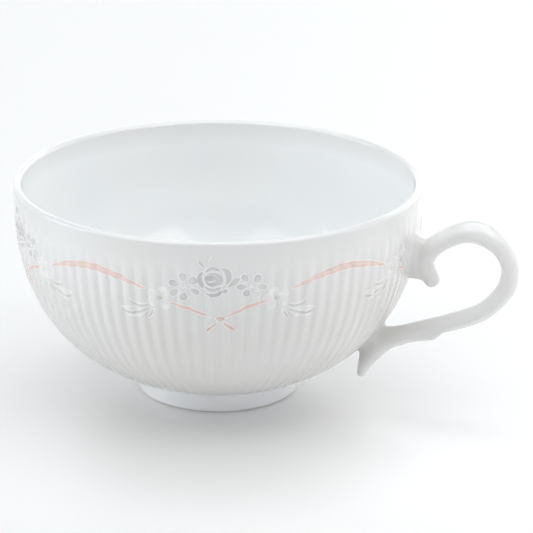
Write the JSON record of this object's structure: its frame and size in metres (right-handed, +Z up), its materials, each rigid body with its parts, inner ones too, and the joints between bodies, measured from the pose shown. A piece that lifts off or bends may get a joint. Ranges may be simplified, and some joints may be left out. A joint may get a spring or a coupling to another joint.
{
  "type": "teacup",
  "caption": "Wide low porcelain teacup with a reeded bowl, a small turned foot, a scroll handle and printed rose, bow and swag transfers.",
  "frame": {"origin": "centre of the whole cup's box on the surface that it stands on; the bowl's own axis is 12.6 mm towards -X", "axes": "+X from the bowl towards the handle, +Z up out of the cup's mouth, +Y to the left of the handle"},
  "size_m": [0.1257, 0.1002, 0.054],
  "materials": {
    "porcelain": "clear gloss glaze over white reeded porcelain",
    "foot_glaze": "smooth clear gloss glaze, dry on the standing edge",
    "slip": "fired porcelain slip, hidden in the joints",
    "transfer_grey": "satin overglaze print, light grey shades with white outlines",
    "transfer_white": "satin overglaze print, opaque white enamel",
    "transfer_leaf": "satin overglaze print, white leaves with grey-green strokes",
    "transfer_pink": "satin overglaze print, pale pink"
  },
  "bodies": {
    "root": {"bowl": "porcelain", "foot_ring": "foot_glaze", "foot_slip": "slip", "handle": "porcelain", "handle_slip_upper": "slip", "handle_slip_lower": "slip", "flower_left_1": "transfer_grey", "blossom_left_1": "transfer_white", "leaf_left_1": "transfer_leaf", "flower_right_1": "transfer_grey", "blossom_right_1": "transfer_white", "leaf_right_1": "transfer_leaf", "rose_1": "transfer_grey", "ribbon_bow_1": "transfer_pink", "swag_1": "transfer_pink", "flower_left_2": "transfer_grey", "blossom_left_2": "transfer_white", "leaf_left_2": "transfer_leaf", "flower_right_2": "transfer_grey", "blossom_right_2": "transfer_white", "leaf_right_2": "transfer_leaf", "rose_2": "transfer_grey", "ribbon_bow_2": "transfer_pink", "swag_2": "transfer_pink", "flower_left_3": "transfer_grey", "blossom_left_3": "transfer_white", "leaf_left_3": "transfer_leaf", "flower_right_3": "transfer_grey", "blossom_right_3": "transfer_white", "leaf_right_3": "transfer_leaf", "rose_3": "transfer_grey", "ribbon_bow_3": "transfer_pink", "swag_3": "transfer_pink", "flower_left_4": "transfer_grey", "blossom_left_4": "transfer_white", "leaf_left_4": "transfer_leaf", "flower_right_4": "transfer_grey", "blossom_right_4": "transfer_white", "leaf_right_4": "transfer_leaf", "rose_4": "transfer_grey", "ribbon_bow_4": "transfer_pink", "swag_4": "transfer_pink", "flower_left_5": "transfer_grey", "blossom_left_5": "transfer_white", "leaf_left_5": "transfer_leaf", "flower_right_5": "transfer_grey", "blossom_right_5": "transfer_white", "leaf_right_5": "transfer_leaf", "ribbon_end_left_5": "transfer_pink", "ribbon_end_right_5": "transfer_pink", "swag_5": "transfer_pink"}
  },
  "joints": []
}
